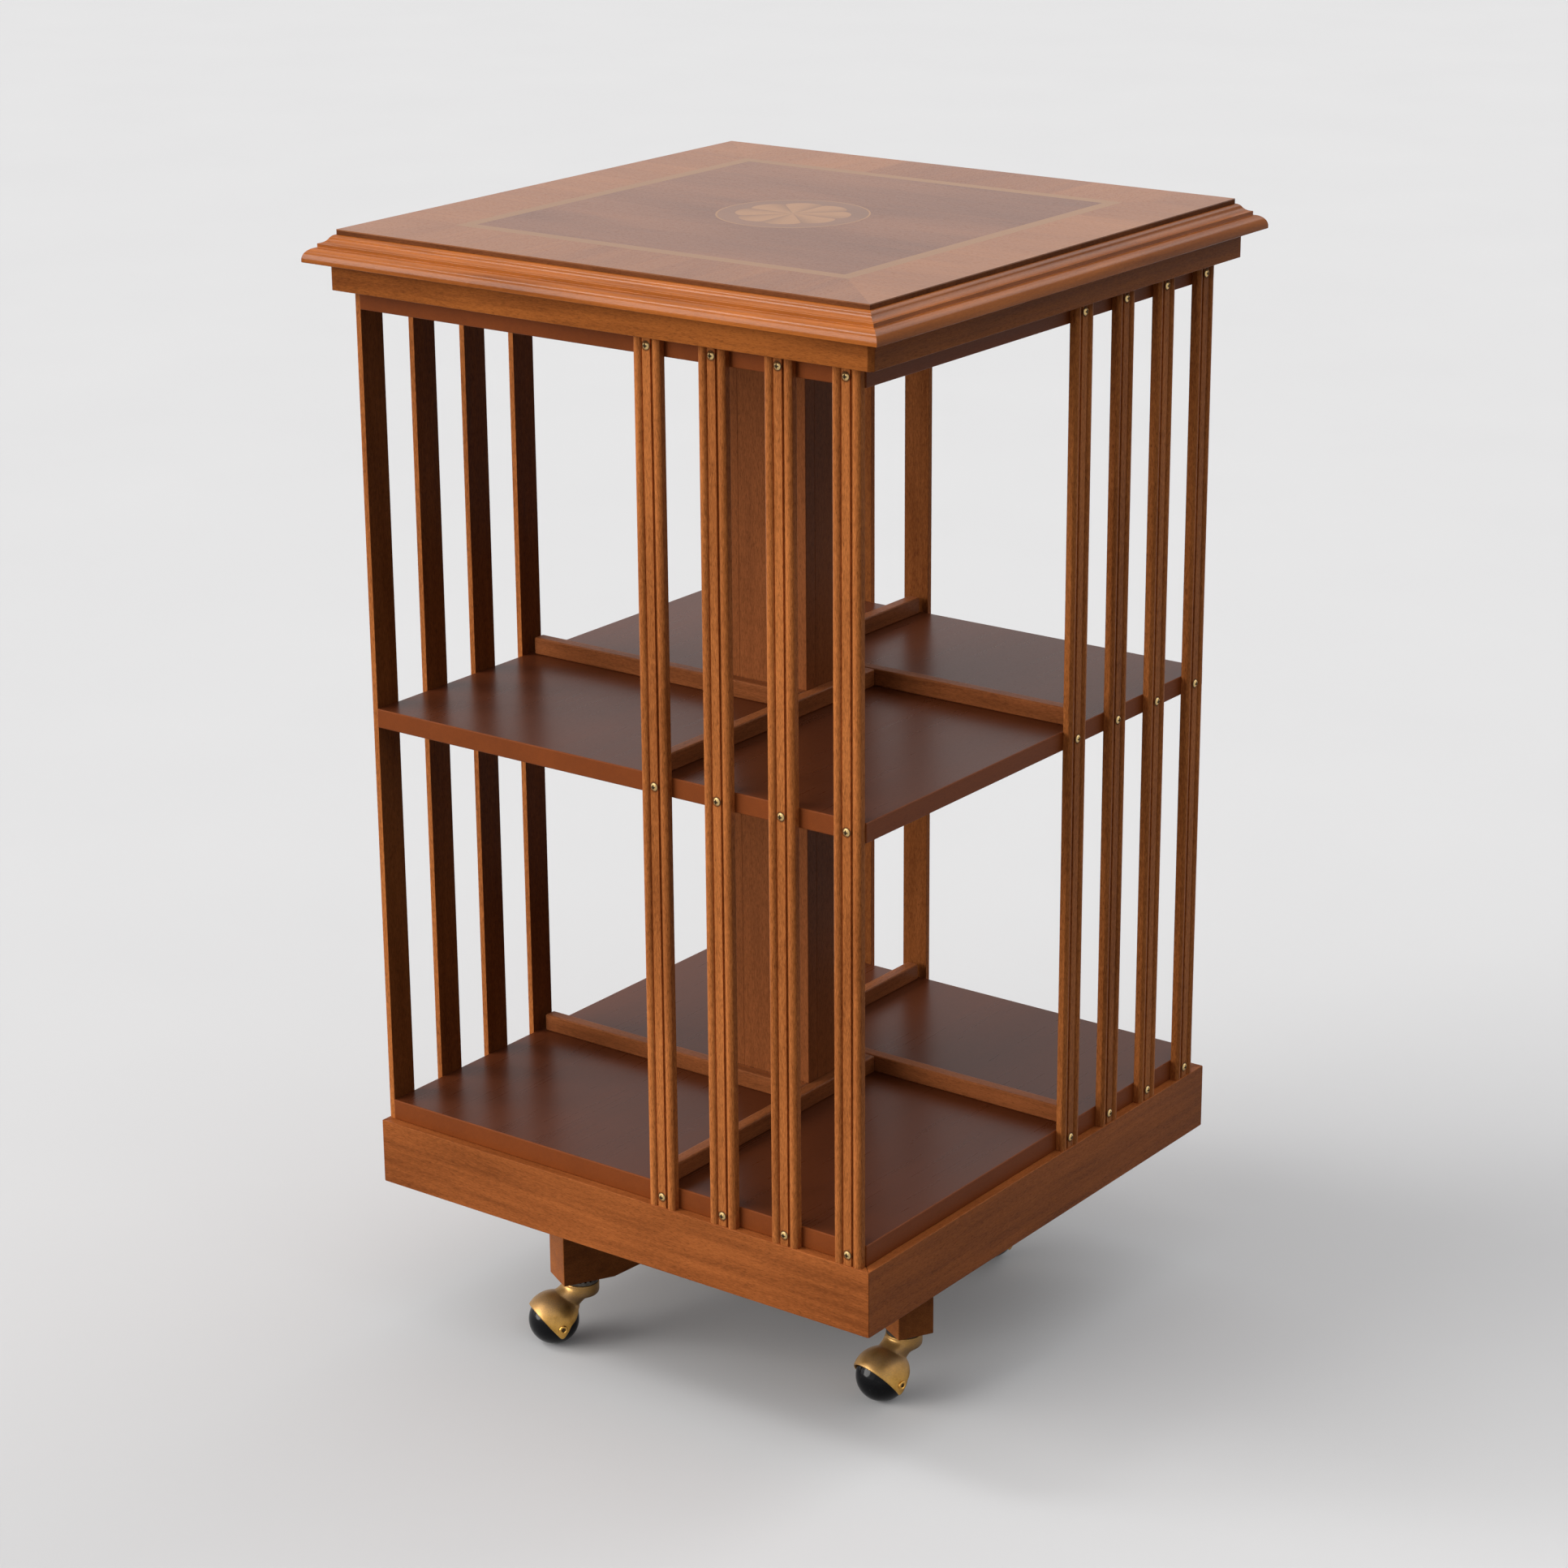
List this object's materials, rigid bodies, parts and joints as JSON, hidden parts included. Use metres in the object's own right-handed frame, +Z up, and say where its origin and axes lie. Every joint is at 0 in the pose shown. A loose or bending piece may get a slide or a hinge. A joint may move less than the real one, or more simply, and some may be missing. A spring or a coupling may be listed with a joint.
{
  "type": "revolving bookcase",
  "caption": "Square revolving bookcase with an inlaid top, two tiers of pinwheel bays behind moulded slats, on a cross base with ball casters.",
  "frame": {"origin": "on the turning axis at floor level, where the caster balls touch", "axes": "+Z up along the spindle, -Y out of the front face, +X out of the right-hand face"},
  "size_m": [0.48, 0.48, 0.8235],
  "materials": {
    "top_core": "dark stained edge, satin",
    "crossband": "straight-grained mahogany veneer, polished",
    "stringing": "light maple stringing, polished",
    "field": "figured mahogany veneer, polished",
    "medallion": "fan marquetry, polished",
    "moulding": "gloss polished mahogany moulding",
    "frieze": "polished mahogany",
    "boards": "dark polished mahogany boards",
    "slats": "polished mahogany slats",
    "column": "polished mahogany post",
    "book_stops": "dark polished strips",
    "plinth": "polished mahogany rails",
    "base": "stained mahogany bars",
    "screw_brass": "worn brass screws",
    "hood_brass": "antique brass castings",
    "bush_brass": "turned brass",
    "steel": "plain steel",
    "socket_steel": "darkened steel",
    "ball_black": "gloss black"
  },
  "bodies": {
    "base": {"cross_bar_lower": "base", "cross_bar_upper": "base", "spindle": "steel", "spindle_nuts_and_washers": "steel", "lower_race": "steel", "caster_sockets": "socket_steel"},
    "case": {"top_panel": "top_core", "crossbanding": "crossband", "stringing": "stringing", "field_veneer": "field", "fan_medallion": "medallion", "edge_moulding_front": "moulding", "edge_moulding_right": "moulding", "edge_moulding_back": "moulding", "edge_moulding_left": "moulding", "frieze_rails": "frieze", "sub_top": "boards", "mid_shelf": "boards", "bottom_board": "boards", "front_slat_1": "slats", "front_slat_2": "slats", "front_slat_3": "slats", "front_slat_4": "slats", "right_slat_1": "slats", "right_slat_2": "slats", "right_slat_3": "slats", "right_slat_4": "slats", "back_slat_1": "slats", "back_slat_2": "slats", "back_slat_3": "slats", "back_slat_4": "slats", "left_slat_1": "slats", "left_slat_2": "slats", "left_slat_3": "slats", "left_slat_4": "slats", "slat_screws": "screw_brass", "upper_column": "column", "lower_column": "column", "upper_book_stops": "book_stops", "lower_book_stops": "book_stops", "plinth_rail_front": "plinth", "plinth_rail_right": "plinth", "plinth_rail_back": "plinth", "plinth_rail_left": "plinth", "upper_race": "steel", "spindle_bush": "bush_brass"},
    "bearing_cage": {"ball_cage": "bush_brass", "bearing_balls": "steel"},
    "caster_fork_front": {"caster_hood_front": "hood_brass", "caster_pins_front": "steel"},
    "caster_roller_front": {"caster_ball_front": "ball_black"},
    "caster_fork_right": {"caster_hood_right": "hood_brass", "caster_pins_right": "steel"},
    "caster_roller_right": {"caster_ball_right": "ball_black"},
    "caster_fork_back": {"caster_hood_back": "hood_brass", "caster_pins_back": "steel"},
    "caster_roller_back": {"caster_ball_back": "ball_black"},
    "caster_fork_left": {"caster_hood_left": "hood_brass", "caster_pins_left": "steel"},
    "caster_roller_left": {"caster_ball_left": "ball_black"}
  },
  "joints": [
    {"name": "case_turn", "type": "hinge", "parent": "base", "child": "case", "pos_m": [0, 0, 0.157], "axis": [0, 0, 1], "continuous": true},
    {"name": "cage_turn", "type": "hinge", "parent": "base", "child": "bearing_cage", "pos_m": [0, 0, 0.157], "axis": [0, 0, 1], "continuous": true},
    {"name": "caster_swivel_front", "type": "hinge", "parent": "base", "child": "caster_fork_front", "pos_m": [0.15598, -0.08575, 0.05], "axis": [0, 0, 1], "continuous": true},
    {"name": "caster_swivel_right", "type": "hinge", "parent": "base", "child": "caster_fork_right", "pos_m": [0.08575, 0.15598, 0.05], "axis": [0, 0, 1], "continuous": true},
    {"name": "caster_swivel_back", "type": "hinge", "parent": "base", "child": "caster_fork_back", "pos_m": [-0.15598, 0.08575, 0.05], "axis": [0, 0, 1], "continuous": true},
    {"name": "caster_swivel_left", "type": "hinge", "parent": "base", "child": "caster_fork_left", "pos_m": [-0.08575, -0.15598, 0.05], "axis": [0, 0, 1], "continuous": true},
    {"name": "caster_roll_front", "type": "hinge", "parent": "caster_fork_front", "child": "caster_roller_front", "pos_m": [0.15141, -0.10727, 0.01875], "axis": [0.9781, -0.2079, 0], "continuous": true},
    {"name": "caster_roll_right", "type": "hinge", "parent": "caster_fork_right", "child": "caster_roller_right", "pos_m": [0.08422, 0.13404, 0.01875], "axis": [0.9976, -0.0698, 0], "continuous": true},
    {"name": "caster_roll_back", "type": "hinge", "parent": "caster_fork_back", "child": "caster_roller_back", "pos_m": [-0.16458, 0.0655, 0.01875], "axis": [0.9205, -0.3907, 0], "continuous": true},
    {"name": "caster_roll_left", "type": "hinge", "parent": "caster_fork_left", "child": "caster_roller_left", "pos_m": [-0.09718, -0.17478, 0.01875], "axis": [0.8545, -0.5195, 0], "continuous": true}
  ],
  "couplings": [
    {"joint": "cage_turn", "follows": "case_turn", "ratio": 0.5}
  ]
}
